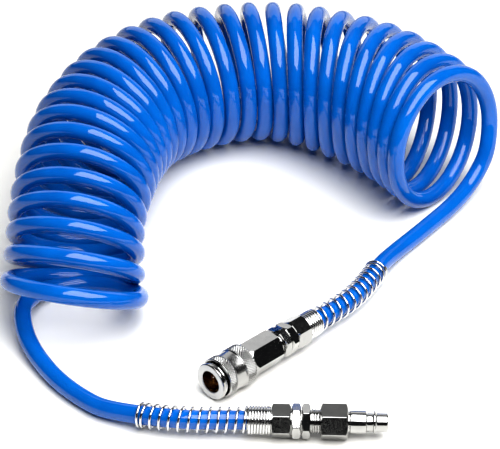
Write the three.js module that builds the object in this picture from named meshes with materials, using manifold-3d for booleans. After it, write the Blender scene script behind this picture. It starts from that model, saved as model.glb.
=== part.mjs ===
// Coiled polyurethane air hose with a quick-release coupler at one end and a plug at the other.
// Millimetres, +Z up. The hose lies on the plane z = 0, coupler axis along X.
import * as THREE from "three";
import { mergeVertices } from "three/addons/utils/BufferGeometryUtils.js";
import Module from "manifold-3d";

const wasm = await Module();
wasm.setup();

// ---- Driving dimensions ----
const HOSE_DIAMETER = 10; // 6.5 mm bore, 10 mm outside
const CLEARANCE = 0.3; // gap kept between pieces that touch
const THREAD_DIAMETER = 13.157; // G 1/4
const THREAD_PITCH = 1.337;
const WRENCH_LARGE = 17; // across flats of the coupler body and the plug
const WRENCH_SMALL = 16; // across flats of the nuts and the swivel hexes
const ROUND_SIDES = 24; // facets of turned pieces

// The coil: 29 left-handed turns, numbered from the plug end.
const COIL_LEAN_END = 3; // degrees that turns lean from upright, far along the coil
const COIL_LEAN_EXTRA = 64; // degrees more at the plug end, where the coil has flopped over
const COIL_LEAN_DECAY = 5.2; // turns over which the extra lean fades
const COIL_HEADING = 39.2; // degrees, heading of the coil's axis in its straight stretch
const COIL_BEND_START = 5; // turn at which the axis starts to curve
const COIL_BEND = 5.4; // degrees per turn after that
// [turn, x and y of the coil's axis on the floor, radius of the hose's centre line]
const COIL_AXIS = [
  [0, -125.1, 18.1, 36.3],
  [2, -100, 43.8, 34.8],
  [4, -77.5, 66.9, 34.7],
  [6.5, -46, 93.2, 36.6],
  [9, -18.6, 111.5, 38.1],
  [12, 19.4, 127, 38.9],
  [15, 60.8, 125.9, 39.6],
  [18, 100, 108.1, 39],
  [21, 120.1, 72.7, 40.7],
  [25, 127, 13.3, 42.7],
  [29, 119.7, -43.3, 40.5],
];
const COIL_SOLID_START = 0.5; // the solid stands in for the turns between these two
const COIL_SOLID_END = 28.2;
const COIL_SECTIONS = 18;
const COIL_SIDES = 24;

// The two loose ends of the hose, from the coil to the fitting.
const COUPLER_TAIL = [
  [154.9, -43, 26],
  [147.8, -43.3, 15.6],
  [133, -45.6, 8.2],
  [113.5, -49.2, 5.4],
  [95.4, -52.2, 5.1],
  [75.3, -55.6, 5.2],
  [57.6, -58.7, 5.8],
  [38.6, -63.9, 7.8],
  [21, -71.3, 9.9],
  [6, -76.8, 10.9],
  [-9, -79.9, 11.2],
];
const PLUG_TAIL = [
  [-134, 46.3, 10.8],
  [-141.5, 40.9, 11.8],
  [-148.3, 32.7, 11.3],
  [-153.9, 23.3, 9.2],
  [-158.2, 12.3, 6.8],
  [-161.4, 0.8, 5.4],
  [-164.5, -12.3, 5.1],
  [-166.2, -25.3, 5.1],
  [-166.6, -40.3, 5.3],
  [-165.4, -53.3, 6.2],
];

// Where the fittings lie: the open face of the coupler, the tip of the plug.
const COUPLER_FACE = [-115.1, -80.7, 11.3];
const PLUG_TIP = [-73.6, -169.6, 9.9];
const PLUG_HEADING = 133.3; // degrees, from the tip towards the hose
const COUPLER_STUB = 49.6; // from the coupler's face to its swivel set
const PLUG_STUB = 39.9; // from the plug's tip to its swivel set

// The swivel set, measured along its axis from the front face of its stub's hex.
const THREAD_START = -11;
const STUB_HEX = 4.7;
const BODY_HEX_END = 9.9;
const NUT_END = 20.3;
const BARB_END = 20;
const HOSE_END = BARB_END + CLEARANCE;
const COLLAR_END = { coupler: 30, plug: 33 };
const SPRING_END = { coupler: 97, plug: 90 };
const SPRING_WIRE = 1.3;
const TIGHT_PITCH = 1.42; // of the turns wound over the nut's collar

const METAL = { color: 0xc9cacc, metalness: 0.95, roughness: 0.22 };
const STEEL_WIRE = { color: 0xb9bbbe, metalness: 0.95, roughness: 0.28 };
const BRASS = { color: 0xb98a45, metalness: 0.9, roughness: 0.3 };
const RUBBER = { color: 0x1b1b1c, metalness: 0, roughness: 0.75 };
const HOSE_BLUE = { color: 0x0a55d8, metalness: 0, roughness: 0.18 };

const radians = THREE.MathUtils.degToRad;

// ---- Solids ----
function toSolid(geometry) {
  const bare = geometry.clone();
  bare.deleteAttribute("normal");
  bare.deleteAttribute("uv");
  const merged = mergeVertices(bare, 1e-4);
  return new wasm.Manifold(
    new wasm.Mesh({
      numProp: 3,
      vertProperties: new Float32Array(merged.attributes.position.array),
      triVerts: new Uint32Array(merged.index.array),
    }),
  );
}

function toGeometry(solid) {
  const mesh = solid.getMesh();
  const geometry = new THREE.BufferGeometry();
  geometry.setAttribute("position", new THREE.BufferAttribute(mesh.vertProperties, 3));
  geometry.setIndex(new THREE.BufferAttribute(mesh.triVerts, 1));
  return geometry;
}

function join(...geometries) {
  return toGeometry(geometries.map(toSolid).reduce((sum, solid) => sum.add(solid)));
}

function cut(geometry, ...tools) {
  return toGeometry(tools.map(toSolid).reduce((rest, tool) => rest.subtract(tool), toSolid(geometry)));
}

function common(first, second) {
  return toGeometry(toSolid(first).intersect(toSolid(second)));
}

// A piece turned about X from [x, radius] points. The outline runs outside first, in order of
// rising x, then back along the bore, or starts and ends on the axis.
function turned(outline, sides = ROUND_SIDES) {
  const points = outline.map(([x, radius]) => new THREE.Vector2(radius, x));
  const closesOnAxis = outline[0][1] === 0 && outline.at(-1)[1] === 0;
  if (!closesOnAxis) points.push(points[0].clone());
  return new THREE.LatheGeometry(points, sides).rotateZ(-Math.PI / 2);
}

function cylinder(from, to, radius, sides = ROUND_SIDES) {
  return turned([[from, 0], [from, radius], [to, radius], [to, 0]], sides);
}

// A hexagon bar along X with turned-down corners at both ends. cornerAngle places one corner,
// in degrees about +X from +Y.
function hexagon(from, to, acrossFlats, cornerAngle) {
  const cornerRadius = acrossFlats / Math.sqrt(3);
  const chamferRadius = acrossFlats * 0.485;
  const chamfer = (cornerRadius - chamferRadius) * Math.tan(radians(30));
  const corners = Array.from({ length: 6 }, (_, i) => {
    const angle = radians(cornerAngle + 60 * i);
    return new THREE.Vector2(-cornerRadius * Math.sin(angle), cornerRadius * Math.cos(angle));
  });
  const settings = { depth: to - from, bevelEnabled: false };
  const bar = new THREE.ExtrudeGeometry(new THREE.Shape(corners), settings);
  bar.rotateY(Math.PI / 2).translate(from, 0, 0);
  const envelope = turned([
    [from, 0],
    [from, chamferRadius],
    [from + chamfer, cornerRadius],
    [to - chamfer, cornerRadius],
    [to, chamferRadius],
    [to, 0],
  ]);
  return common(bar, envelope);
}

// Outline of a male thread that ends at x = to: plain where it is screwed in, grooved where it shows.
function threadOutline(from, to, diameter, grooves) {
  const crest = diameter / 2;
  const root = crest - THREAD_PITCH * 0.55;
  const outline = [[from, crest]];
  for (let i = grooves; i > 0; i--) {
    const start = to - i * THREAD_PITCH;
    outline.push([start, crest], [start + THREAD_PITCH / 2, root]);
  }
  outline.push([to, crest]);
  return outline;
}

// A split ring of square section in a plane across X, open by gapAngle.
function splitRing(from, to, innerRadius, outerRadius, gapAngle) {
  const half = radians(gapAngle / 2);
  const shape = new THREE.Shape();
  shape.absarc(0, 0, outerRadius, half, 2 * Math.PI - half, false);
  shape.absarc(0, 0, innerRadius, 2 * Math.PI - half, half, true);
  const settings = { depth: to - from, bevelEnabled: false, curveSegments: 10 };
  return new THREE.ExtrudeGeometry(shape, settings).rotateY(Math.PI / 2).translate(from, 0, 0);
}

function roundRing(x, radius, thickness) {
  return new THREE.TorusGeometry(radius, thickness / 2, 5, 14).rotateY(Math.PI / 2).translate(x, 0, 0);
}

function roundSection(radius, sides) {
  const corners = Array.from({ length: sides }, (_, i) => {
    const angle = (2 * Math.PI * i) / sides;
    return new THREE.Vector2(radius * Math.cos(angle), radius * Math.sin(angle));
  });
  return new THREE.Shape(corners);
}

// A wire wound round a centre line. stations: [distance along the line, turns so far, winding radius].
class WoundWire extends THREE.Curve {
  constructor(line, stations) {
    super();
    this.line = line;
    this.stations = stations;
    this.arcLengthDivisions = 1600;
  }

  getPoint(share, target = new THREE.Vector3()) {
    const turn = share * this.stations.at(-1)[1];
    let i = 1;
    while (i < this.stations.length - 1 && this.stations[i][1] < turn) i++;
    const [before, after] = [this.stations[i - 1], this.stations[i]];
    const part = (turn - before[1]) / (after[1] - before[1]);
    const distance = THREE.MathUtils.lerp(before[0], after[0], part);
    const radius = THREE.MathUtils.lerp(before[2], after[2], part);
    const along = this.line.getTangentAt(distance / this.line.getLength());
    const side = new THREE.Vector3(along.y, -along.x, 0).normalize();
    const up = side.clone().cross(along);
    const angle = 2 * Math.PI * turn;
    return target
      .copy(this.line.getPointAt(distance / this.line.getLength()))
      .addScaledVector(side, radius * Math.cos(angle))
      .addScaledVector(up, radius * Math.sin(angle));
  }
}

function wire(line, stations, diameter, stepsPerTurn = 9, sides = 4) {
  const path = new WoundWire(line, stations);
  const steps = Math.round(stations.at(-1)[1] * stepsPerTurn);
  return new THREE.ExtrudeGeometry(roundSection(diameter / 2, sides), { steps, extrudePath: path });
}

// ---- Assembly ----
const part = new THREE.Group();
const coupler = new THREE.Group();
coupler.position.set(...COUPLER_FACE);
const plug = new THREE.Group();
plug.position.set(...PLUG_TIP);
plug.rotation.z = radians(PLUG_HEADING);
part.add(coupler, plug);
part.updateMatrixWorld(true);

function add(parent, name, geometry, look) {
  const mesh = new THREE.Mesh(geometry, new THREE.MeshStandardMaterial(look));
  mesh.name = name;
  parent.add(mesh);
}

// ---- Hose ----
function coilHeading(turn) {
  return radians(COIL_HEADING - COIL_BEND * Math.max(0, turn - COIL_BEND_START));
}

function coilLean(turn) {
  return radians(COIL_LEAN_END + COIL_LEAN_EXTRA * Math.exp(-turn / COIL_LEAN_DECAY));
}

// Axis position and radius at a turn: a smooth cubic curve through the listed turns.
function coilAxis(turn) {
  let i = 0;
  while (i < COIL_AXIS.length - 2 && COIL_AXIS[i + 1][0] < turn) i++;
  const slope = (j, k) => {
    const low = COIL_AXIS[Math.max(j - 1, 0)];
    const high = COIL_AXIS[Math.min(j + 1, COIL_AXIS.length - 1)];
    return (high[k] - low[k]) / (high[0] - low[0]);
  };
  const [start, end] = [COIL_AXIS[i], COIL_AXIS[i + 1]];
  const span = end[0] - start[0];
  const u = (turn - start[0]) / span;
  return [1, 2, 3].map(
    (k) =>
      (2 * u ** 3 - 3 * u ** 2 + 1) * start[k] +
      (u ** 3 - 2 * u ** 2 + u) * span * slope(i, k) +
      (3 * u ** 2 - 2 * u ** 3) * end[k] +
      (u ** 3 - u ** 2) * span * slope(i + 1, k),
  );
}

// One leaning disc of the coil: its centre, the two directions across it and its radius.
function coilDisc(turn) {
  const [heading, lean] = [coilHeading(turn), coilLean(turn)];
  const [x, y, radius] = coilAxis(turn);
  const normal = new THREE.Vector3(
    Math.cos(lean) * Math.cos(heading),
    Math.cos(lean) * Math.sin(heading),
    Math.sin(lean),
  );
  const side = new THREE.Vector3(Math.sin(heading), -Math.cos(heading), 0);
  const up = side.clone().cross(normal);
  const height = HOSE_DIAMETER / 2 + radius * Math.cos(lean);
  return { centre: new THREE.Vector3(x, y, height), side, up, radius };
}

// A closed skin over rings of points, with a flat cap at each end.
function loft(rings) {
  const sides = rings[0].length;
  const positions = rings.flat().flatMap((point) => point.toArray());
  const index = [];
  for (let i = 0; i < rings.length - 1; i++) {
    for (let k = 0; k < sides; k++) {
      const [a, b] = [i * sides + k, i * sides + ((k + 1) % sides)];
      index.push(a, b + sides, b, a, a + sides, b + sides);
    }
  }
  const last = (rings.length - 1) * sides;
  for (let k = 1; k < sides - 1; k++) {
    index.push(0, k, k + 1);
    index.push(last, last + k + 1, last + k);
  }
  const geometry = new THREE.BufferGeometry();
  geometry.setAttribute("position", new THREE.Float32BufferAttribute(positions, 3));
  geometry.setIndex(index);
  return geometry;
}

// The outer shape of the coil as one fat tube of leaning round sections.
function coilSolid() {
  const rings = [];
  for (let i = 0; i <= COIL_SECTIONS; i++) {
    const turn = THREE.MathUtils.lerp(COIL_SOLID_START, COIL_SOLID_END, i / COIL_SECTIONS);
    const { centre, side, up, radius } = coilDisc(turn);
    const outside = radius + HOSE_DIAMETER / 2;
    rings.push(
      Array.from({ length: COIL_SIDES }, (_, k) => {
        const angle = (2 * Math.PI * k) / COIL_SIDES - Math.PI / 2;
        return centre
          .clone()
          .addScaledVector(side, outside * Math.cos(angle))
          .addScaledVector(up, outside * Math.sin(angle));
      }),
    );
  }
  return loft(rings);
}

// The line of a loose end, carried on straight through the given stations of its swivel set.
function tailLine(points, fitting, stub, stations) {
  const loose = points.map((point) => new THREE.Vector3(...point));
  const straight = stations.map((x) => fitting.localToWorld(new THREE.Vector3(stub + x, 0, 0)));
  return new THREE.CatmullRomCurve3([...loose, ...straight], false, "centripetal");
}

function tail(line) {
  const steps = Math.round(line.getLength() / HOSE_DIAMETER);
  return new THREE.ExtrudeGeometry(roundSection(HOSE_DIAMETER / 2, 10), { steps, extrudePath: line });
}

const couplerLine = tailLine(COUPLER_TAIL, coupler, COUPLER_STUB, [COLLAR_END.coupler, HOSE_END]);
const plugStations = [SPRING_END.plug - 22, COLLAR_END.plug + 8, COLLAR_END.plug, HOSE_END];
const plugLine = tailLine(PLUG_TAIL, plug, PLUG_STUB, plugStations);
add(part, "hose_coil", coilSolid(), HOSE_BLUE);
add(part, "hose_tail_coupler", tail(couplerLine), HOSE_BLUE);
add(part, "hose_tail_plug", tail(plugLine), HOSE_BLUE);

// ---- Swivel set: the same pieces at both ends ----
// Stub: male thread, thin hex and a spigot with grooves for its O-ring and retaining ring.
function swivelStub(cornerAngle) {
  const outline = [
    ...threadOutline(THREAD_START, -0.4, THREAD_DIAMETER, 4),
    [0.3, 5.6],
    [STUB_HEX, 5.6],
    [STUB_HEX, 4.2],
    [7, 4.2],
    [7, 3.2],
    [9.2, 3.2],
    [9.2, 4.2],
    [10.6, 4.2],
    [10.6, 3.4],
    [12, 3.4],
    [12, 4.2],
    [13, 4.2],
    [13, 2.5],
    [THREAD_START, 2.5],
  ];
  const collar = cut(hexagon(0, STUB_HEX, WRENCH_SMALL, cornerAngle), cylinder(-1, STUB_HEX + 1, 4));
  return join(turned(outline, 20), collar);
}

// Fitting body: thin hex with the spigot's socket, a thread for the nut, and the barb for the hose.
function fittingBody(cornerAngle) {
  const front = STUB_HEX + CLEARANCE;
  const turnedPart = turned([
    [front, 7],
    [15, 5.9],
    [15, 3.3],
    [16.5, 3.3],
    [16.5, 3.9],
    [18.2, 3.3],
    [18.2, 3.8],
    [BARB_END, 3.1],
    [BARB_END, 2.3],
    [13.4, 2.3],
    [13.4, 4.5],
    [12, 4.5],
    [12, 5.1],
    [10.6, 5.1],
    [10.6, 4.5],
    [front, 4.5],
  ]);
  const collar = cut(hexagon(front, BODY_HEX_END, WRENCH_SMALL, cornerAngle), cylinder(0, 20, 5.5));
  return join(turnedPart, collar);
}

// Nut: hex over the fitting body's thread, and a thin collar that the strain relief is pushed onto.
function hoseNut(cornerAngle, collarEnd) {
  const front = BODY_HEX_END + CLEARANCE;
  const bore = HOSE_DIAMETER / 2 + CLEARANCE;
  const hollow = turned([
    [front - 1, 0],
    [front - 1, 7.1],
    [15.3, 6.3],
    [15.3, bore],
    [collarEnd + 1, bore],
    [collarEnd + 1, 0],
  ]);
  const hex = hexagon(front, NUT_END, WRENCH_SMALL, cornerAngle);
  return cut(join(hex, cylinder(NUT_END - 2, collarEnd, 5.75)), hollow);
}

// corners: how each hexagon is turned, as for hexagon().
function addSwivelSet(end, group, stub, line, corners) {
  const set = new THREE.Group();
  set.position.x = stub;
  group.add(set);
  add(set, `${end}_swivel_stub`, swivelStub(corners.stub), METAL);
  add(set, `${end}_swivel_o_ring`, roundRing(8.1, 3.93, 0.84), RUBBER);
  add(set, `${end}_retaining_ring`, splitRing(10.95, 11.65, 3.7, 4.8, 40), STEEL_WIRE);
  add(set, `${end}_fitting_body`, fittingBody(corners.body), METAL);
  add(set, `${end}_hose_nut`, hoseNut(corners.nut, COLLAR_END[end]), METAL);
  const length = line.getLength();
  const place = (x) => length - (x - HOSE_END);
  const tightStart = NUT_END + 1.1;
  const tightTurns = Math.floor((COLLAR_END[end] - tightStart) / TIGHT_PITCH);
  const stations = [
    [place(tightStart), 0, 6.95],
    [place(COLLAR_END[end] + 0.4), tightTurns, 6.95],
    [place(COLLAR_END[end] + 3), tightTurns + 0.7, 6.3],
    [place(SPRING_END[end] - 2), 19, 6.3],
    [place(SPRING_END[end]), 20, 6.3],
  ];
  add(part, `${end}_strain_relief`, wire(line, stations, SPRING_WIRE), STEEL_WIRE);
}

addSwivelSet("coupler", coupler, COUPLER_STUB, couplerLine, { stub: 37.4, body: 50.4, nut: 29.9 });
addSwivelSet("plug", plug, PLUG_STUB, plugLine, { stub: 3, body: 12, nut: 50 });

// ---- Plug ----
const PLUG_HEX = [20.7, 34.9];
const PLUG_BORE = 3.5;
const THREAD_SOCKET = THREAD_DIAMETER / 2 + CLEARANCE;

function plugNipple() {
  const shank = turned([
    [0, 0],
    [0, 4.5],
    [0.4, 4.9],
    [6.1, 4.9],
    [6.6, 6],
    [7.5, 6],
    [7.9, 4.8],
    [11.1, 4.8],
    [11.5, 6],
    [PLUG_HEX[0] + 1, 6],
    [PLUG_HEX[0] + 1, 0],
  ]);
  const body = join(shank, hexagon(PLUG_HEX[0], PLUG_HEX[1], WRENCH_LARGE, 50));
  const socket = cylinder(28.5, PLUG_HEX[1] + 1, THREAD_SOCKET);
  return cut(body, cylinder(-1, 29, PLUG_BORE), socket);
}
add(plug, "plug_nipple", plugNipple(), METAL);

// ---- Coupler ----
const NOSE_END = 2.3;
const NOSE_RADIUS = 10.3;
const SOCKET_RADIUS = 8.9; // outside of the socket body, under the sleeve
const SOCKET_END = 24.3;
const MOUTH_RADIUS = 6.2;
const THROAT_RADIUS = 5.2;
const BALL_STATION = 8.5;
const BALL_RADIUS = 1.75;
const BALL_COUNT = 6;
const SLEEVE = [4.8, 24.6];
const SLEEVE_RADIUS = 11.25;
const SLEEVE_LAND = SOCKET_RADIUS + CLEARANCE;
const SLEEVE_BORE = 10.2; // over the sleeve's spring and the rear body's flange
const SLEEVE_TRAVEL = 3.5;
const BALL_TRAVEL = 0.9; // outwards, while the sleeve makes its full travel
const COUPLER_HEX = [25.1, 47.1];
const FLANGE_RADIUS = 9.85;
const VALVE_SEAT = 17.5;
const VALVE_END = 21.3;
const VALVE_TRAVEL = 5;

// Socket body: nose, ball holes, groove for the plug's seal and the valve's seat.
function socketBody() {
  const shell = turned([
    [0, NOSE_RADIUS - 0.5],
    [0.5, NOSE_RADIUS],
    [NOSE_END, NOSE_RADIUS],
    [NOSE_END, SOCKET_RADIUS],
    [2.6, SOCKET_RADIUS],
    [2.6, 8.1],
    [4.3, 8.1],
    [4.3, SOCKET_RADIUS],
    [SOCKET_END, SOCKET_RADIUS],
    [SOCKET_END, 7.6],
    [19.7, 7.6],
    [19.7, 6.4],
    [VALVE_SEAT, 6.4],
    [VALVE_SEAT, THROAT_RADIUS],
    [15.1, THROAT_RADIUS],
    [15.1, 6.9],
    [12.5, 6.9],
    [12.5, THROAT_RADIUS],
    [11, THROAT_RADIUS],
    [10.6, MOUTH_RADIUS],
    [0, MOUTH_RADIUS],
  ]);
  const holes = ballAngles().map((angle) => {
    const hole = new THREE.CylinderGeometry(BALL_RADIUS + CLEARANCE, BALL_RADIUS + CLEARANCE, 8, 10);
    return hole.translate(0, 8, 0).rotateX(angle).translate(BALL_STATION, 0, 0);
  });
  return cut(shell, ...holes);
}

// Angles about +X from +Y.
function ballAngles() {
  return Array.from({ length: BALL_COUNT }, (_, i) => (2 * Math.PI * i) / BALL_COUNT + Math.PI / 6);
}

function lockBall(angle) {
  const radius = SOCKET_RADIUS - BALL_RADIUS;
  const ball = new THREE.SphereGeometry(BALL_RADIUS, 10, 6).translate(0, radius, 0);
  return ball.rotateX(angle).translate(BALL_STATION, 0, 0);
}

// Sleeve: a cone at its mouth lets the balls out at the same rate as the sleeve is drawn back.
function releaseSleeve() {
  const coneSlope = BALL_TRAVEL / SLEEVE_TRAVEL;
  return turned([
    [SLEEVE[0], SLEEVE_RADIUS - 0.4],
    [SLEEVE[0] + 0.4, SLEEVE_RADIUS],
    [10, SLEEVE_RADIUS],
    [10.5, 10.7],
    [16.8, 10.7],
    [17.3, SLEEVE_RADIUS],
    [SLEEVE[1] - 0.4, SLEEVE_RADIUS],
    [SLEEVE[1], SLEEVE_RADIUS - 0.4],
    [SLEEVE[1], SLEEVE_BORE],
    [12, SLEEVE_BORE],
    [12, SLEEVE_LAND],
    [BALL_STATION, SLEEVE_LAND],
    [SLEEVE[0], SLEEVE_LAND + (BALL_STATION - SLEEVE[0]) * coneSlope],
  ], 30);
}

// Rear body: spigot into the socket body, flange for the sleeve's spring, hex, and threaded socket.
function couplerHexBody() {
  const front = turned([
    [20, 0],
    [20, 7.3],
    [24.6, 7.3],
    [24.6, FLANGE_RADIUS],
    [25.4, FLANGE_RADIUS],
    [25.4, 8],
    [26.5, 8],
    [26.5, 0],
  ]);
  const body = join(front, hexagon(...COUPLER_HEX, WRENCH_LARGE, 0));
  const bores = [cylinder(19, 35, 6.4), cylinder(34, 39, 3.5), cylinder(38.2, 48, THREAD_SOCKET)];
  return cut(body, ...bores);
}

// Valve: a slotted crown that the plug pushes on, and a disc that closes the bore.
function valve() {
  const crown = turned([
    [11.2, 4.2],
    [11.6, 4.6],
    [19.3, 4.6],
    [19.3, 6],
    [VALVE_END, 6],
    [VALVE_END, 3],
    [23, 2.6],
    [23, 0],
    [18.3, 0],
    [18.3, 3.4],
    [11.2, 3.4],
  ]);
  const window = new THREE.BoxGeometry(3, 12, 2.4).translate(15.8, 0, 0);
  return cut(crown, window, window.clone().rotateX(Math.PI / 2));
}

function flatRing(from, to, innerRadius, outerRadius) {
  return turned([[from, outerRadius], [to, outerRadius], [to, innerRadius], [from, innerRadius]], 20);
}

function innerSpring(from, to, radius, turns, diameter) {
  const line = new THREE.LineCurve3(new THREE.Vector3(from, 0, 0), new THREE.Vector3(to, 0, 0));
  return wire(line, [[0, 0, radius], [to - from, turns, radius]], diameter, 12);
}

add(coupler, "coupler_socket_body", socketBody(), METAL);
add(coupler, "coupler_hex_body", couplerHexBody(), METAL);
add(coupler, "coupler_release_sleeve", releaseSleeve(), METAL);
add(coupler, "coupler_snap_ring", splitRing(2.9, 4, 8.4, 9.5, 30), STEEL_WIRE);
add(coupler, "coupler_sleeve_spring", innerSpring(16, 23.9, 9.65, 5, 0.5), STEEL_WIRE);
add(coupler, "coupler_plug_seal", flatRing(12.8, 14.8, 5.25, 6.6), RUBBER);
add(coupler, "coupler_valve", valve(), BRASS);
add(coupler, "coupler_valve_washer", flatRing(17.8, 19, 4.9, 6), RUBBER);
const valveSpringStart = VALVE_END + VALVE_TRAVEL + 0.7; // clear of the valve at full travel
add(coupler, "coupler_valve_spring", innerSpring(valveSpringStart, 34.3, 5.2, 5, 0.8), STEEL_WIRE);
ballAngles().forEach((angle, i) => {
  add(coupler, `coupler_lock_ball_${i + 1}`, lockBall(angle), STEEL_WIRE);
});

export default part;
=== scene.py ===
"""Looks of the coiled air hose: hose, plated fittings, springs, floor, light and camera.

Everything is in metres in the model's own frame. Outlines of fittings are in millimetres, as
(distance along the fitting's axis, radius), and are scaled once when their mesh is made.
"""

import math

import bpy
from mathutils import Matrix, Vector


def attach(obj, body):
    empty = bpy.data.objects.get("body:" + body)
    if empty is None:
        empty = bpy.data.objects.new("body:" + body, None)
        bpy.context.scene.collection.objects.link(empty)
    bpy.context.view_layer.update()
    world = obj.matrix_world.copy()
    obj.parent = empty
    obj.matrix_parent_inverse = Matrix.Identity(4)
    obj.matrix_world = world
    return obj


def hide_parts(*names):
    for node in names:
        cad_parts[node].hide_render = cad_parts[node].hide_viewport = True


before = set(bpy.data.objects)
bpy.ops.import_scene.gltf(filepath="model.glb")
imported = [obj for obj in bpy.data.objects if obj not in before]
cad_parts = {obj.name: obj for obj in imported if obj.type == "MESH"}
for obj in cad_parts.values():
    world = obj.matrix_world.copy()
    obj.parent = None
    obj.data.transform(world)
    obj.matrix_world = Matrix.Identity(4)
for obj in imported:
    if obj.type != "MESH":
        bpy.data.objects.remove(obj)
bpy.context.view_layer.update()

MM = 0.001

# ---- Sizes shared with the CAD model ----
HOSE_DIAMETER = 10
WRENCH_LARGE = 17
WRENCH_SMALL = 16
THREAD_RADIUS = 13.157 / 2
THREAD_PITCH = 1.337

COIL_LEAN_END = 3
COIL_LEAN_EXTRA = 64
COIL_LEAN_DECAY = 5.2
COIL_HEADING = 39.2
COIL_BEND_START = 5
COIL_BEND = 5.4
# (turn, x and y of the coil's axis on the floor, radius of the hose's centre line)
COIL_AXIS = [
    (0, -125.1, 18.1, 36.3),
    (2, -100, 43.8, 34.8),
    (4, -77.5, 66.9, 34.7),
    (6.5, -46, 93.2, 36.6),
    (9, -18.6, 111.5, 38.1),
    (12, 19.4, 127, 38.9),
    (15, 60.8, 125.9, 39.6),
    (18, 100, 108.1, 39),
    (21, 120.1, 72.7, 40.7),
    (25, 127, 13.3, 42.7),
    (29, 119.7, -43.3, 40.5),
]
COUPLER_TAIL = [
    (154.9, -43, 26),
    (147.8, -43.3, 15.6),
    (133, -45.6, 8.2),
    (113.5, -49.2, 5.4),
    (95.4, -52.2, 5.1),
    (75.3, -55.6, 5.2),
    (57.6, -58.7, 5.8),
    (38.6, -63.9, 7.8),
    (21, -71.3, 9.9),
    (6, -76.8, 10.9),
    (-9, -79.9, 11.2),
]
# The first three points lie under the coil, before the tail comes into the open.
PLUG_TAIL = [
    (-101.5, 48.6, 5.3),
    (-110, 51.6, 6.6),
    (-120.5, 51.4, 8.8),
    (-134, 46.3, 10.8),
    (-141.5, 40.9, 11.8),
    (-148.3, 32.7, 11.3),
    (-153.9, 23.3, 9.2),
    (-158.2, 12.3, 6.8),
    (-161.4, 0.8, 5.4),
    (-164.5, -12.3, 5.1),
    (-166.2, -25.3, 5.1),
    (-166.6, -40.3, 5.3),
    (-165.4, -53.3, 6.2),
]
COUPLER_FACE = Vector((-115.1, -80.7, 11.3))
PLUG_TIP = Vector((-73.6, -169.6, 9.9))
PLUG_HEADING = math.radians(133.3)
# The swivel stub's hex starts this far from the coupler's face or the plug's tip.
COUPLER_STUB = 49.6
PLUG_STUB = 39.9
# Distances from the front of the swivel stub's hex, towards the hose.
STUB_HEX = 4.7
BODY_HEX_END = 9.9
NUT_END = 20.3
BARB_END = 20.3
COLLAR_END = {"coupler": 30, "plug": 33}
SPRING_END = {"coupler": 97, "plug": 90}
# Degrees that the hexes of the stub, the body and the nut are turned about the fitting's axis.
HEX_TURNS = {"coupler": (37.4, 50.4, 29.9), "plug": (3, 12, 50)}

# Distances in the coupler are from its front face.
FLANGE_RADIUS = 9.85
SLEEVE_BORE = 10.2
LOCK_BALLS = 6
BALL_RADIUS = 1.75
BALL_STATION = 8.5
BALL_OUTER_REACH = 8.9

# ---- Looks-only sizes ----
COIL_FLARE = 8  # how far the first turn opens where the tail leaves it
COIL_FLARE_TURNS = 0.3
COIL_LAST_TURN = 28.78
POINTS_PER_TURN = 16
HOSE_STEP = 4
HOSE_SIDES = 24
FITTING_REACH = 100  # the length of hose, at each end, that the strain relief is wound along
SPRING_WIRE = 1.4
TIGHT_PITCH = 1.45
OPEN_TURNS = 11.5
WIRE_SIDES = 10
WIRE_STEPS_PER_TURN = 30

COUPLER_PLACE = Matrix.Translation(COUPLER_FACE)
PLUG_PLACE = Matrix.Translation(PLUG_TIP) @ Matrix.Rotation(PLUG_HEADING, 4, "Z")


# ---- Lines and meshes ----
def catmull_rom(points, step):
    """Points about step apart on the centripetal Catmull-Rom curve through the points."""
    ends = [points[0] * 2 - points[1]] + points + [points[-1] * 2 - points[-2]]
    line = [points[0]]
    for p0, p1, p2, p3 in zip(ends, ends[1:], ends[2:], ends[3:]):
        t1 = math.sqrt((p1 - p0).length)
        t2 = t1 + math.sqrt((p2 - p1).length)
        t3 = t2 + math.sqrt((p3 - p2).length)
        count = max(1, round((p2 - p1).length / step * 4))
        for i in range(1, count + 1):
            t = t1 + (t2 - t1) * i / count
            a1 = p0 * ((t1 - t) / t1) + p1 * (t / t1)
            a2 = p1 * ((t2 - t) / (t2 - t1)) + p2 * ((t - t1) / (t2 - t1))
            a3 = p2 * ((t3 - t) / (t3 - t2)) + p3 * ((t - t2) / (t3 - t2))
            b1 = a1 * ((t2 - t) / t2) + a2 * (t / t2)
            b2 = a2 * ((t3 - t) / (t3 - t1)) + a3 * ((t - t1) / (t3 - t1))
            line.append(b1 * ((t2 - t) / (t2 - t1)) + b2 * ((t - t1) / (t2 - t1)))
    return resampled(line, step)


def resampled(line, step):
    """The same line with points an even distance apart, close to step."""
    reach = [0.0]
    for a, b in zip(line, line[1:]):
        reach.append(reach[-1] + (b - a).length)
    count = max(1, round(reach[-1] / step))
    even = []
    k = 0
    for i in range(count + 1):
        distance = reach[-1] * i / count
        while k < len(line) - 2 and reach[k + 1] < distance:
            k += 1
        share = (distance - reach[k]) / (reach[k + 1] - reach[k])
        even.append(line[k].lerp(line[k + 1], min(1, share)))
    return even


def line_length(line):
    return sum((b - a).length for a, b in zip(line, line[1:]))


def frames_along(line):
    """(point, side, up) at each point of a line, turning no more than the line bends."""
    tangents = []
    for i in range(len(line)):
        tangents.append((line[min(i + 1, len(line) - 1)] - line[max(i - 1, 0)]).normalized())
    side = tangents[0].orthogonal().normalized()
    frames = []
    for point, tangent in zip(line, tangents):
        side = (side - tangent * side.dot(tangent)).normalized()
        frames.append((point, side, tangent.cross(side)))
    return frames


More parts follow.
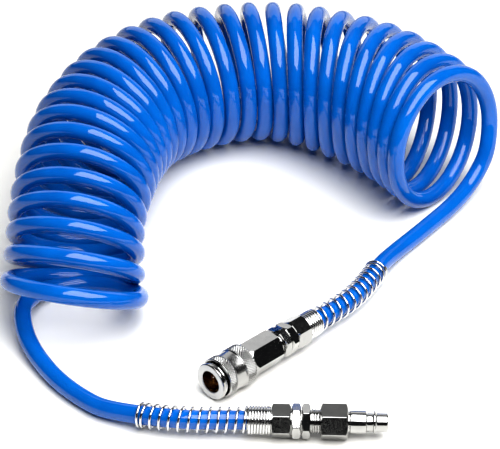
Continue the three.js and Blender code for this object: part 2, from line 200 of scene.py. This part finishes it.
class Shape:
    """Vertices and faces gathered for one mesh object. Each face has a material number."""

    def __init__(self):
        self.points = []
        self.faces = []
        self.slots = []

    def add_ring(self, ring):
        start = len(self.points)
        self.points.extend(ring)
        return list(range(start, start + len(ring)))

    def bridge(self, low, high, material=0):
        count = len(low)
        for k in range(count):
            n = (k + 1) % count
            self.faces.append((low[k], low[n], high[n], high[k]))
            self.slots.append(material)

    def cap(self, ring, flip=False, material=0):
        self.faces.append(tuple(reversed(ring)) if flip else tuple(ring))
        self.slots.append(material)

    def skin(self, rings, closed_start=True, closed_end=True, material=0):
        indices = [self.add_ring(ring) for ring in rings]
        for low, high in zip(indices, indices[1:]):
            self.bridge(low, high, material)
        if closed_start:
            self.cap(indices[0], True, material)
        if closed_end:
            self.cap(indices[-1], False, material)

    def tube(self, line, radius, sides):
        rings = []
        for point, side, up in frames_along(line):
            rings.append(
                [
                    point + (side * math.cos(angle) + up * math.sin(angle)) * radius
                    for angle in (2 * math.pi * k / sides for k in range(sides))
                ]
            )
        self.skin(rings)

    def build(self, name, place, materials, body, nodes, sharp=32):
        """The mesh object, from millimetres in the place's frame to metres in the model's.

        Edges that turn by more than sharp degrees stay sharp.
        """
        mesh = bpy.data.meshes.new(name)
        mesh.from_pydata([(place @ p) * MM for p in self.points], [], self.faces)
        for material in materials:
            mesh.materials.append(material)
        for face, number in zip(mesh.polygons, self.slots):
            face.material_index = number
        mesh.shade_smooth()
        mesh.set_sharp_from_angle(angle=math.radians(sharp))
        mesh.update()
        piece = bpy.data.objects.new(name, mesh)
        bpy.context.scene.collection.objects.link(piece)
        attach(piece, body)
        if nodes:
            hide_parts(*nodes)
        return piece


def rounded(outline, radius=0.25, steps=3):
    """The outline with each inner corner turned into a short arc."""
    points = [Vector(p) for p in outline]
    smooth = [points[0]]
    for before, corner, after in zip(points, points[1:], points[2:]):
        back, on = before - corner, after - corner
        reach = min(radius, back.length * 0.45, on.length * 0.45)
        start = corner + back.normalized() * reach
        end = corner + on.normalized() * reach
        for i in range(steps + 1):
            t = i / steps
            smooth.append(start * (1 - t) ** 2 + corner * 2 * t * (1 - t) + end * t * t)
    smooth.append(points[-1])
    return smooth


def circle_angles(count):
    return [2 * math.pi * k / count for k in range(count)]


def around(x, radius, angle):
    return Vector((x, radius * math.cos(angle), radius * math.sin(angle)))


def turn(shape, outline, sides=96, radius=0.25, material=0):
    """A turned surface about X through the outline's points, its corners slightly rounded."""
    angles = circle_angles(sides)
    rings = []
    for x, r in rounded(outline, radius):
        rings.append([around(x, max(r, 1e-4), angle) for angle in angles])
    shape.skin(rings, False, False, material)


def hex_radius(angle, across_flats, corner, rounding=0.35):
    """Distance from the axis to a hexagon's side, with rounded corners."""
    flat = across_flats / 2
    off = (math.degrees(angle - corner) + 30) % 60 - 30
    middle = (flat - rounding) / math.cos(math.radians(30))
    tangent = 30 - math.degrees(math.atan2(middle * 0.5, flat))
    off_rad = math.radians(abs(off))
    if abs(off) < tangent:
        return middle * math.cos(off_rad) + math.sqrt(rounding**2 - (middle * math.sin(off_rad)) ** 2)
    return flat / math.cos(math.radians(30) - off_rad)


def hexagon(
    shape, start, end, across_flats, corner_degrees, inner_start, inner_end, chamfer=0.485, front=None
):
    """A hexagon bar with turned-down ends. inner_* is the radius its end faces reach inwards.

    front is (radius, slope) of a longer cone turned at the start, where there is one.
    """
    corner = math.radians(corner_degrees)
    offsets = [-30, -25, -20, -15, -10, -6, -3, -1.2, -0.6, 0, 0.6, 1.2, 3, 6, 10, 15, 20, 25]
    angles = [corner + math.radians(60 * k + off) for k in range(6) for off in offsets]
    chamfer_radius = across_flats * chamfer
    slope = math.tan(math.radians(30))
    front_radius, front_slope = front or (chamfer_radius, slope)
    rings = [[] for _ in range(8)]
    for angle in angles:
        side = hex_radius(angle, across_flats, corner)
        face = min(side, chamfer_radius)
        depth = max(0.0, side - chamfer_radius) * slope
        front_face = min(side, front_radius)
        front_depth = max(0.0, side - front_radius) * front_slope
        stations = [
            (start, inner_start),
            (start, front_face - 0.05),
            (start + 0.03, front_face),
            (start + 0.05 + front_depth, side),
            (end - 0.05 - depth, side),
            (end - 0.03, face),
            (end, face - 0.05),
            (end, inner_end),
        ]
        for ring, (x, r) in zip(rings, stations):
            ring.append(around(x, r, angle))
    shape.skin(rings, False, False)


def thread(shape, start, end, radius, depth=0.72, sides=72, per_pitch=12):
    """A male thread: one helical groove round a cylinder, fading out at both ends."""
    angles = circle_angles(sides)
    count = round((end - start) / THREAD_PITCH * per_pitch)
    rings = []
    for i in range(count + 1):
        x = start + (end - start) * i / count
        fade = min(1, (x - start) / 0.5, (end - x) / 0.5)
        ring = []
        for angle in angles:
            phase = (x / THREAD_PITCH - angle / (2 * math.pi)) % 1
            wave = min(1, abs(phase - 0.5) * 2.6)
            ring.append(around(x, radius - depth * (1 - wave) * fade, angle))
        rings.append(ring)
    shape.skin(rings, False, False)


def knurl(shape, start, end, radius, material, ridges=44, depth=0.55):
    """A diamond knurl: two crossing sets of grooves."""
    sides = ridges * 6
    angles = circle_angles(sides)
    pitch = 2 * math.pi * radius / ridges
    count = round((end - start) / pitch * 7)
    rings = []
    for i in range(count + 1):
        x = start + (end - start) * i / count
        fade = min(1, (x - start) / 0.4, (end - x) / 0.4)
        ring = []
        for angle in angles:
            along = (x / pitch) * 0.9
            turns = angle / (2 * math.pi) * ridges
            first = abs((turns + along) % 1 - 0.5) * 2
            second = abs((turns - along) % 1 - 0.5) * 2
            height = min(1, min(first, second) * 1.9)
            ring.append(around(x, radius - depth * (1 - height) * fade, angle))
        rings.append(ring)
    shape.skin(rings, False, False, material)


def ring_line(x, radius, start, end, count):
    """Points of an arc about X between two angles in degrees."""
    angles = [math.radians(start + (end - start) * i / count) for i in range(count + 1)]
    return [around(x, radius, angle) for angle in angles]


# ---- Materials ----
def material(name, **inputs):
    made = bpy.data.materials.new(name)
    made.use_nodes = True
    shader = made.node_tree.nodes["Principled BSDF"]
    for key, value in inputs.items():
        shader.inputs[key.replace("_", " ")].default_value = value
    return made, made.node_tree, shader


def node(tree, kind, **settings):
    made = tree.nodes.new(kind)
    for key, value in settings.items():
        if key in made.inputs:
            made.inputs[key].default_value = value
        else:
            setattr(made, key, value)
    return made


def ramp(tree, source, low, high, low_at=0.0, high_at=1.0):
    made = tree.nodes.new("ShaderNodeValToRGB")
    first, last = made.color_ramp.elements
    first.position, last.position = low_at, high_at
    first.color = (*low, 1) if isinstance(low, tuple) else (low, low, low, 1)
    last.color = (*high, 1) if isinstance(high, tuple) else (high, high, high, 1)
    tree.links.new(source, made.inputs["Fac"])
    return made.outputs["Color"]


def bump(tree, shader, height, distance, strength=1.0):
    made = node(tree, "ShaderNodeBump", Strength=strength, Distance=distance)
    tree.links.new(height, made.inputs["Height"])
    tree.links.new(made.outputs["Normal"], shader.inputs["Normal"])


def object_coordinates(tree):
    return tree.nodes.new("ShaderNodeTexCoord").outputs["Object"]


def noise_of(tree, scale, detail=3.0, roughness=0.5):
    made = node(tree, "ShaderNodeTexNoise", Scale=scale, Detail=detail, Roughness=roughness)
    tree.links.new(object_coordinates(tree), made.inputs["Vector"])
    return made.outputs["Fac"]


def hose_material():
    made, tree, shader = material(
        "hose_polyurethane_blue",
        Roughness=0.045,
        IOR=1.47,
        Subsurface_Weight=0.12,
        Subsurface_Scale=0.002,
    )
    shader.inputs["Subsurface Radius"].default_value = (0.2, 0.5, 1.0)
    patches = noise_of(tree, 60)
    colour = ramp(tree, patches, (0.001, 0.093, 0.41), (0.001, 0.116, 0.49), 0.3, 0.7)
    tree.links.new(colour, shader.inputs["Base Color"])
    ripples = noise_of(tree, 420, 2.0)
    rough = ramp(tree, ripples, 0.03, 0.06)
    tree.links.new(rough, shader.inputs["Roughness"])
    bump(tree, shader, noise_of(tree, 260, 2.0), 0.00008, 0.5)
    return made


def plated_material(name, colour, low, high, grain):
    made, tree, shader = material(name, Metallic=1.0, Roughness=(low + high) / 2)
    stain = noise_of(tree, 180, 4.0)
    dark = tuple(c * 0.88 for c in colour)
    tree.links.new(ramp(tree, stain, dark, colour, 0.3, 0.65), shader.inputs["Base Color"])
    tree.links.new(ramp(tree, noise_of(tree, 900, 4.0), low, high, 0.3, 0.7), shader.inputs["Roughness"])
    bump(tree, shader, noise_of(tree, 1500, 3.0), grain, 0.6)
    return made


def rubber_material():
    made, tree, shader = material("rubber_black", Roughness=0.6)
    shade = ramp(tree, noise_of(tree, 700), (0.012, 0.012, 0.012), (0.03, 0.03, 0.03))
    tree.links.new(shade, shader.inputs["Base Color"])
    bump(tree, shader, noise_of(tree, 2500), 0.00005)
    return made


def floor_material():
    made, tree, shader = material("floor_white", Roughness=0.55)
    shade = ramp(tree, noise_of(tree, 3), (0.9, 0.89, 0.85), (0.92, 0.91, 0.87))
    tree.links.new(shade, shader.inputs["Base Color"])
    return made


HOSE_BLUE = hose_material()
NICKEL = plated_material("nickel_plated_steel", (0.45, 0.45, 0.445), 0.06, 0.14, 0.00002)
SATIN = plated_material("satin_nickel", (0.55, 0.555, 0.56), 0.3, 0.42, 0.00003)
TURNED = plated_material("turned_nickel", (0.4, 0.4, 0.395), 0.18, 0.26, 0.00002)
KNURLED = plated_material("knurled_nickel", (0.34, 0.34, 0.335), 0.12, 0.2, 0.00002)
WIRE = plated_material("bright_spring_wire", (0.7, 0.7, 0.7), 0.12, 0.2, 0.00002)
BRASS = plated_material("turned_brass", (0.83, 0.6, 0.33), 0.2, 0.32, 0.00002)
RUBBER = rubber_material()
# Brass tone of the mouth's bore, darkened well below the valve's brass as painted shade inside the mouth.
SHADED_BRASS_BORE = plated_material("brass_bore_with_painted_shade", (0.36, 0.235, 0.12), 0.1, 0.2, 0.00002)


# ---- Camera ----
def add_camera():
    data = bpy.data.cameras.new("camera")
    data.lens = 162
    data.sensor_width = 36
    data.clip_end = 20
    made = bpy.data.objects.new("camera", data)
    made.location = (-0.781, -0.7763, 0.711)
    made.rotation_euler = (math.radians(58), 0, math.radians(-45))
    bpy.context.scene.collection.objects.link(made)
    bpy.context.scene.camera = made


# ---- Hose ----
def coil_axis(turn_number):
    """Axis x, y and coil radius at a turn, on a smooth cubic curve through COIL_AXIS."""
    i = 0
    while i < len(COIL_AXIS) - 2 and COIL_AXIS[i + 1][0] < turn_number:
        i += 1

    def slope(j, k):
        low = COIL_AXIS[max(j - 1, 0)]
        high = COIL_AXIS[min(j + 1, len(COIL_AXIS) - 1)]
        return (high[k] - low[k]) / (high[0] - low[0])

    start, end = COIL_AXIS[i], COIL_AXIS[i + 1]
    span = end[0] - start[0]
    u = (turn_number - start[0]) / span
    return [
        (2 * u**3 - 3 * u**2 + 1) * start[k]
        + (u**3 - 2 * u**2 + u) * span * slope(i, k)
        + (3 * u**2 - 2 * u**3) * end[k]
        + (u**3 - u**2) * span * slope(i + 1, k)
        for k in (1, 2, 3)
    ]


def coil_point(turn_number):
    """A point of the hose's centre line in the coil, in millimetres."""
    heading = math.radians(COIL_HEADING - COIL_BEND * max(0, turn_number - COIL_BEND_START))
    lean = math.radians(COIL_LEAN_END + COIL_LEAN_EXTRA * math.exp(-turn_number / COIL_LEAN_DECAY))
    x, y, radius = coil_axis(turn_number)
    if turn_number < COIL_FLARE_TURNS:
        radius += COIL_FLARE * (1 + math.cos(math.pi * turn_number / COIL_FLARE_TURNS)) / 2
    normal = Vector(
        (
            math.cos(lean) * math.cos(heading),
            math.cos(lean) * math.sin(heading),
            math.sin(lean),
        )
    )
    side = Vector((math.sin(heading), -math.cos(heading), 0))
    up = side.cross(normal)
    centre = Vector((x, y, HOSE_DIAMETER / 2 + radius * math.cos(lean)))
    angle = 2 * math.pi * turn_number - math.pi / 2
    return centre + (side * math.cos(angle) + up * math.sin(angle)) * radius


def fitting_points(place, stub, distances):
    return [place @ Vector((stub + x, 0, 0)) for x in distances]


def hose_line():
    """The whole hose's centre line, from inside the plug's nut to inside the coupler's nut."""
    collar = COLLAR_END["plug"]
    into_plug = [BARB_END, collar, collar + 8, SPRING_END["plug"] - 22]
    into_coupler = [COLLAR_END["coupler"], BARB_END]
    last = round(COIL_LAST_TURN * POINTS_PER_TURN)
    points = fitting_points(PLUG_PLACE, PLUG_STUB, into_plug)
    points += [Vector(p) for p in reversed(PLUG_TAIL)]
    points += [coil_point(i / POINTS_PER_TURN) for i in range(last + 1)]
    points += [Vector(p) for p in COUPLER_TAIL]
    points += fitting_points(COUPLER_PLACE, COUPLER_STUB, into_coupler)
    return catmull_rom(points, HOSE_STEP)


def add_hose(line):
    shape = Shape()
    shape.tube(line, HOSE_DIAMETER / 2, HOSE_SIDES)
    nodes = ["hose_coil", "hose_tail_coupler", "hose_tail_plug"]
    return shape.build("hose", Matrix(), [HOSE_BLUE], "hose", nodes, 60)


# ---- Swivel sets ----
# Distances here are from the front of the swivel stub's hex. Each stub turns with the body that
# has its end's name.
def add_swivel_stub(end, place, corner):
    shape = Shape()
    turn(shape, [(-6.4, 4), (-6.4, THREAD_RADIUS - 0.8), (-5.9, THREAD_RADIUS - 0.72)])
    thread(shape, -5.9, -0.35, THREAD_RADIUS)
    turn(shape, [(-0.35, THREAD_RADIUS - 0.72), (0.1, THREAD_RADIUS - 0.72)])
    hexagon(shape, 0, STUB_HEX, WRENCH_SMALL, corner, 5.4, 4.1, 0.478)
    turn(shape, [(STUB_HEX - 0.1, 5.9), (STUB_HEX + 0.2, 5.9)])
    name = f"{end}_swivel_stub"
    return shape.build(f"{name}_look", place, [NICKEL], end, [name])


def add_fitting_body(end, place, corner):
    shape = Shape()
    hexagon(shape, STUB_HEX + 0.3, BODY_HEX_END, WRENCH_SMALL, corner, 4.6, 5.6, 0.478)
    turn(shape, [(BODY_HEX_END - 0.1, 6.6), (BODY_HEX_END + 0.6, 6.6), (15, 5.9), (15, 3.3), (20, 3.1)])
    name = f"{end}_fitting_body"
    return shape.build(f"{name}_look", place, [NICKEL], "hose", [name])


def add_hose_nut(end, place, corner):
    shape = Shape()
    hexagon(shape, BODY_HEX_END + 0.3, NUT_END, WRENCH_SMALL, corner, 6.9, 5.7)
    tip = COLLAR_END[end]
    turn(shape, [(NUT_END - 0.4, 5.75), (tip, 5.75), (tip, 5.25), (tip - 5, 5.25)])
    name = f"{end}_hose_nut"
    return shape.build(f"{name}_look", place, [NICKEL], "hose", [name])


def add_strain_relief(end, line):
    """A wire wound tightly over the nut's collar, then openly round the hose. line starts at the barb."""
    tip = COLLAR_END[end]
    last = SPRING_END[end]
    tight = round((tip - NUT_END - 1.6) / TIGHT_PITCH)
    # (distance from the stub, turns so far, winding radius)
    stations = [
        (NUT_END + 0.9, 0, 6.9),
        (NUT_END + 1.0, 0.6, 6.95),
        (tip - 0.6, tight, 6.95),
        (tip + 2.4, tight + 0.8, 6.25),
        (last - 3.2, tight + OPEN_TURNS, 6.25),
        (last - 1.7, tight + OPEN_TURNS + 0.6, 6.3),
        (last - 0.2, tight + OPEN_TURNS + 1.6, 6.3),
    ]
    even = resampled(line, 0.5)
    spacing = line_length(line) / (len(even) - 1)
    wire = []
    for i in range(round(stations[-1][1] * WIRE_STEPS_PER_TURN) + 1):
        turns = i / WIRE_STEPS_PER_TURN
        k = 1
        while k < len(stations) - 1 and stations[k][1] < turns:
            k += 1
        before, after = stations[k - 1], stations[k]
        share = (turns - before[1]) / (after[1] - before[1])
        distance = before[0] + (after[0] - before[0]) * share - BARB_END
        radius = before[2] + (after[2] - before[2]) * share
        at = min(distance / spacing, len(even) - 1.001)
        point = even[int(at)].lerp(even[int(at) + 1], at % 1)
        along = (even[min(int(at) + 8, len(even) - 1)] - even[max(int(at) - 8, 0)]).normalized()
        side = Vector((along.y, -along.x, 0)).normalized()
        up = side.cross(along)
        angle = 2 * math.pi * turns
        wire.append(point + (side * math.cos(angle) + up * math.sin(angle)) * radius)
    shape = Shape()
    shape.tube(wire, SPRING_WIRE / 2, WIRE_SIDES)
    name = f"{end}_strain_relief"
    return shape.build(f"{name}_look", Matrix(), [WIRE], "hose", [name], 60)


# ---- Plug ----
def add_plug_nipple():
    shape = Shape()
    turn(
        shape,
        [
            (24, 3.5),
            (0.35, 3.5),
            (0, 3.85),
            (0, 4.35),
            (0.55, 4.9),
            (6, 4.9),
            (6.5, 5.5),
            (6.7, 6),
            (7.5, 6),
            (7.9, 4.8),
            (11, 4.8),
            (11.4, 6),
            (19.3, 6),
            (19.9, 5.6),
            (20.9, 5.6),
        ],
    )
    hexagon(shape, 20.7, 34.9, WRENCH_LARGE, 50, 5.4, 6.9, 0.482)
    turn(shape, [(35, 6.95), (34.2, 6.6), (30, 6.6)])
    return shape.build("plug_nipple_look", PLUG_PLACE, [NICKEL], "plug", ["plug_nipple"])


# ---- Coupler ----
def add_coupler_hex_body():
    shape = Shape()
    turn(shape, [(24.3, 8.6), (24.6, FLANGE_RADIUS), (25.3, FLANGE_RADIUS), (25.4, 7)])
    hexagon(shape, 25.15, 47.1, WRENCH_LARGE, 0, 8, 6.9, 0.482, (8.35, 1.75))
    turn(shape, [(47.2, 6.95), (46.4, 6.6), (42, 6.6)])
    nodes = ["coupler_hex_body"]
    return shape.build("coupler_hex_look", COUPLER_PLACE, [NICKEL], "coupler", nodes, 18)


def add_socket_body():
    """Nose, mouth and bore. The lock balls show through the bore's wall, which has no holes cut."""
    shape = Shape()
    turn(shape, [(0.12, 9.95), (0, 9.75), (0, 6.6), (0.4, 6.25)], material=1)
    # The bore takes the darkened brass: brass tone plus painted shade inside the mouth.
    turn(shape, [(0.4, 6.25), (10.6, 6.2), (11, 5.2), (17.5, 5.2), (17.5, 6.4), (19, 6.4)], material=2)
    turn(shape, [(0.12, 9.95), (0.5, 10.3), (2, 10.3), (2.3, 10.05), (2.3, 8.9), (6, 8.9)], radius=0.12)
    nodes = ["coupler_socket_body"]
    looks = [NICKEL, SATIN, SHADED_BRASS_BORE]
    return shape.build("coupler_socket_look", COUPLER_PLACE, looks, "coupler", nodes)


def add_release_sleeve():
    shape = Shape()
    crest = 11.15
    turn(shape, [(6, 10.1), (4.8, 10.1), (4.8, 10.75), (5.15, crest), (5.3, crest)])
    knurl(shape, 5.3, 9.7, crest, 1)
    recess = [(9.7, crest), (10, crest), (10.5, 10.65), (16.8, 10.65), (17.3, crest), (17.6, crest)]
    turn(shape, recess, material=2)
    knurl(shape, 17.6, 24, crest, 1)
    turn(shape, [(24, crest), (24.25, crest), (24.6, 10.8), (24.6, SLEEVE_BORE), (18, SLEEVE_BORE)])
    nodes = ["coupler_release_sleeve"]
    looks = [NICKEL, KNURLED, TURNED]
    body = "release_sleeve"
    return shape.build("coupler_sleeve_look", COUPLER_PLACE, looks, body, nodes, 40)


def add_snap_ring():
    shape = Shape()
    shape.tube(ring_line(3.45, 8.95, 15, 345, 90), 0.55, WIRE_SIDES)
    nodes = ["coupler_snap_ring"]
    name = "coupler_snap_ring_look"
    return shape.build(name, COUPLER_PLACE, [WIRE], "coupler", nodes, 60)


def add_valve():
    shape = Shape()
    crown = [(17.5, 0), (17.5, 3.4), (11.5, 3.4), (11.2, 3.7), (11.2, 4.2), (11.6, 4.6), (17.6, 4.6)]
    turn(shape, crown, radius=0.15)
    turn(shape, [(17.4, 0), (12.6, 0), (12.2, 0.5), (12.2, 1.2), (12.6, 1.6), (17.4, 1.6)], radius=0.2)
    nodes = ["coupler_valve"]
    return shape.build("coupler_valve_look", COUPLER_PLACE, [BRASS], "valve", nodes)


def add_lock_balls():
    steps = 12
    for i in range(LOCK_BALLS):
        angle = 2 * math.pi * (i + 0.5) / LOCK_BALLS
        centre = around(BALL_STATION, BALL_OUTER_REACH - BALL_RADIUS, angle)
        rings = []
        for k in range(steps + 1):
            polar = math.pi * k / steps
            ring_radius = max(BALL_RADIUS * math.sin(polar), 1e-3)
            x = -BALL_RADIUS * math.cos(polar)
            rings.append([centre + around(x, ring_radius, a) for a in circle_angles(20)])
        shape = Shape()
        shape.skin(rings)
        name = f"coupler_lock_ball_{i + 1}"
        body = f"lock_ball_{i + 1}"
        shape.build(f"{name}_look", COUPLER_PLACE, [WIRE], body, [name], 60)


def dress_hidden_pieces():
    """CAD pieces inside the fittings keep their shape and get their material."""
    looks = {
        "swivel_o_ring": RUBBER,
        "plug_seal": RUBBER,
        "valve_washer": RUBBER,
        "retaining_ring": WIRE,
        "sleeve_spring": WIRE,
        "valve_spring": WIRE,
    }
    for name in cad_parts:
        for ending, look in looks.items():
            if name.endswith(ending):
                bpy.data.objects[name].data.materials.clear()
                bpy.data.objects[name].data.materials.append(look)


def add_end(end, place, stub, line):
    set_place = place @ Matrix.Translation((stub, 0, 0))
    corners = HEX_TURNS[end]
    return [
        add_swivel_stub(end, set_place, corners[0]),
        add_fitting_body(end, set_place, corners[1]),
        add_hose_nut(end, set_place, corners[2]),
        add_strain_relief(end, line),
    ]


# ---- Floor and light ----
def add_floor():
    mesh = bpy.data.meshes.new("floor")
    size = 4
    corners = [(-size, -size, 0), (size, -size, 0), (size, size, 0), (-size, size, 0)]
    mesh.from_pydata(corners, [], [(0, 1, 2, 3)])
    mesh.materials.append(floor_material())
    made = bpy.data.objects.new("floor", mesh)
    bpy.context.scene.collection.objects.link(made)


def add_light(name, place, turned, width, height, power):
    data = bpy.data.lights.new(name, "AREA")
    data.shape = "RECTANGLE"
    data.size = width
    data.size_y = height
    data.energy = power
    made = bpy.data.objects.new(name, data)
    made.location = place
    made.rotation_euler = [math.radians(angle) for angle in turned]
    bpy.context.scene.collection.objects.link(made)


def add_lights():
    world = bpy.data.worlds.new("studio")
    world.use_nodes = True
    world.node_tree.nodes["Background"].inputs["Color"].default_value = (0.9, 0.95, 1, 1)
    world.node_tree.nodes["Background"].inputs["Strength"].default_value = 0.02
    bpy.context.scene.world = world
    add_light("overhead_softbox", (-0.122, -0.708, 1.1), (0, 0, -65), 1.34, 1.42, 38.5)
    add_light("rear_strip", (0.67, 0.67, 1.5), (0, 0, -45), 0.9, 0.7, 0.45)
    add_light("backdrop_panel", (1.3, 1.3, 0.95), (90, 0, 135), 3, 1.7, 15)


add_camera()
line = hose_line()
hose = add_hose(line)
near_plug = line[: round(FITTING_REACH / HOSE_STEP)]
near_coupler = list(reversed(line))[: round(FITTING_REACH / HOSE_STEP)]
plug_pieces = add_end("plug", PLUG_PLACE, PLUG_STUB, near_plug)
plug_pieces.append(add_plug_nipple())
add_end("coupler", COUPLER_PLACE, COUPLER_STUB, near_coupler)
add_coupler_hex_body()
add_socket_body()
add_release_sleeve()
add_snap_ring()
add_valve()
add_lock_balls()
dress_hidden_pieces()
add_floor()
add_lights()
bpy.context.scene.view_settings.view_transform = "Standard"
bpy.context.scene.view_settings.look = "Medium High Contrast"
